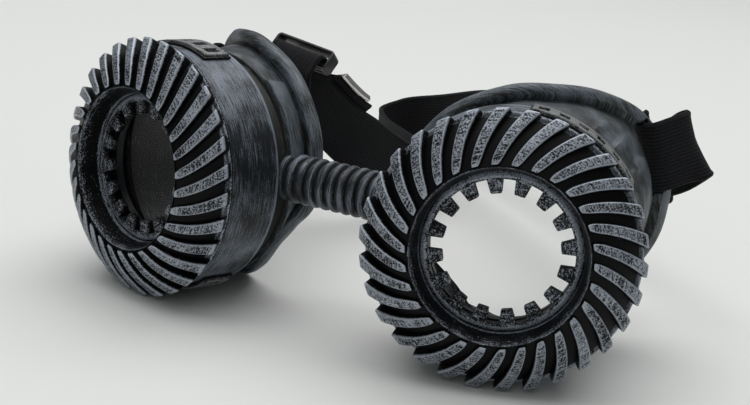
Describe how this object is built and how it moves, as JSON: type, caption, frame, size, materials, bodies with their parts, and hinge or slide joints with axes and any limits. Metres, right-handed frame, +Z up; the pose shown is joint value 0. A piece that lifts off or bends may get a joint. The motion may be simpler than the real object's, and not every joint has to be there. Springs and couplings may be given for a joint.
{
  "type": "steampunk costume goggles",
  "caption": "Steampunk goggles: two barrels faced with spiral bevel gears, ribbed bridge tube, eye cups and an elastic strap",
  "frame": {"origin": "on the surface the goggles lie on, under the middle of their bounding box", "axes": "+Z up, the gears face -Y, the strap lies towards +Y, +X is to the right seen from the front"},
  "size_m": [0.1766, 0.2118, 0.072],
  "materials": {
    "gear": "black plastic, dry-brushed with silver paint",
    "barrel": "black plastic with brushed streaks of silver paint",
    "cup": "dark grey flexible plastic, silver on the rim",
    "pad": "grey-topped plastic vent",
    "lens": "clear plastic sheet",
    "webbing": "black ribbed elastic",
    "slider": "black moulded plastic",
    "metal": "bright plated wire"
  },
  "bodies": {
    "root": {"gear_rim_left": "gear", "spline_ring_left": "gear", "lens_left": "lens", "barrel_left": "barrel", "barrel_plate_left": "barrel", "eye_cup_left": "cup", "vent_pad_top_left": "pad", "vent_pad_bottom_left": "pad", "slider_left": "slider", "gear_rim_right": "gear", "spline_ring_right": "gear", "lens_right": "lens", "barrel_right": "barrel", "barrel_plate_right": "barrel", "eye_cup_right": "cup", "vent_pad_top_right": "pad", "vent_pad_bottom_right": "pad", "slider_right": "slider", "bridge_tube": "gear", "strap": "webbing", "strap_tail": "webbing", "adjuster": "metal"}
  },
  "joints": []
}
